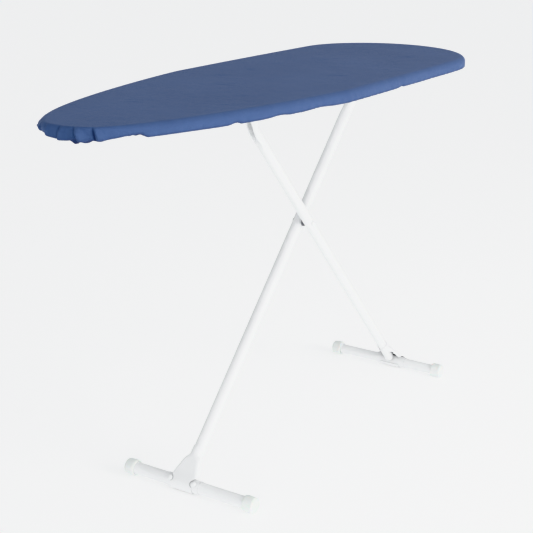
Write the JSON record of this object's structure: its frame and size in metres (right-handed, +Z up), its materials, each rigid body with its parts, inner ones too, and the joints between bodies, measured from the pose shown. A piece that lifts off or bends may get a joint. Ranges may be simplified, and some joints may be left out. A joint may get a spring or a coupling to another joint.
{
  "type": "ironing board",
  "caption": "Free-standing ironing board with a blue fabric cover, a rounded nose and crossing white tube legs that fold flat under the board.",
  "frame": {"origin": "on the floor under the middle of the covered board", "axes": "+X along the board from its rounded nose to its blunt heel, +Y across it, +Z up"},
  "size_m": [1.37, 0.45, 0.864],
  "materials": {
    "blue_cotton": "plain woven blue cotton, matt",
    "white_cord": "braided cotton cord",
    "grey_felt": "pressed felt",
    "board_paint": "white powder coat",
    "leg_paint": "glossy white enamel",
    "zinc_plate": "bright zinc plate",
    "white_plastic": "natural nylon",
    "cap_plastic": "white moulded polythene, slightly cloudy",
    "grey_plastic": "moulded, satin"
  },
  "bodies": {
    "board": {"fabric_cover": "blue_cotton", "hem_drawcord": "white_cord", "foam_pad": "grey_felt", "vented_top": "board_paint", "edge_rim": "board_paint", "cross_brace_nose": "board_paint", "cross_brace_middle": "board_paint", "cross_brace_heel": "board_paint", "slide_rail_left": "board_paint", "slide_rail_right": "board_paint", "height_rack_left": "zinc_plate", "height_rack_right": "zinc_plate", "hinge_bracket": "board_paint", "hinge_rod": "zinc_plate", "hinge_spacer_left": "white_plastic", "hinge_spacer_right": "white_plastic", "hinge_nut_left": "zinc_plate", "hinge_nut_right": "zinc_plate", "lever_bracket": "board_paint", "lever_pin": "zinc_plate", "lever_spring": "zinc_plate"},
    "front_leg": {"front_leg_tube": "leg_paint", "front_foot_tube": "leg_paint", "front_foot_sleeve": "leg_paint", "front_foot_saddle": "leg_paint", "front_foot_rivet_left": "leg_paint", "front_foot_rivet_right": "leg_paint", "front_foot_cap_left": "cap_plastic", "front_foot_cap_right": "cap_plastic", "crossing_rivet": "leg_paint", "crossing_washer": "grey_plastic"},
    "rear_leg": {"rear_leg_tube": "leg_paint", "rear_foot_tube": "leg_paint", "rear_foot_sleeve": "leg_paint", "rear_foot_saddle": "leg_paint", "rear_foot_rivet_left": "leg_paint", "rear_foot_rivet_right": "leg_paint", "rear_foot_cap_left": "cap_plastic", "rear_foot_cap_right": "cap_plastic", "slide_rod": "zinc_plate", "slide_spacer_left": "white_plastic", "slide_spacer_right": "white_plastic", "slide_roller_left": "white_plastic", "slide_roller_right": "white_plastic", "slide_nut_left": "zinc_plate", "slide_nut_right": "zinc_plate"},
    "lever": {"release_lever": "zinc_plate", "lever_grip": "grey_plastic"}
  },
  "joints": [
    {"name": "front_leg_fold", "type": "hinge", "parent": "board", "child": "front_leg", "pos_m": [0.40429, 0, 0.8214], "axis": [0, 1, 0], "range_deg": [0, 47]},
    {"name": "rear_leg_fold", "type": "hinge", "parent": "front_leg", "child": "rear_leg", "pos_m": [0.1435, 0, 0.5074], "axis": [0, 1, 0], "range_deg": [-94, 0]},
    {"name": "lever_squeeze", "type": "hinge", "parent": "board", "child": "lever", "pos_m": [-0.11729, -0.078, 0.827], "axis": [-1, 0, 0], "range_deg": [0, 9], "stiffness_Nm_per_rad": 0.6, "springref_deg": -20.05}
  ],
  "couplings": [
    {"joint": "rear_leg_fold", "follows": "front_leg_fold", "ratio": -2}
  ]
}
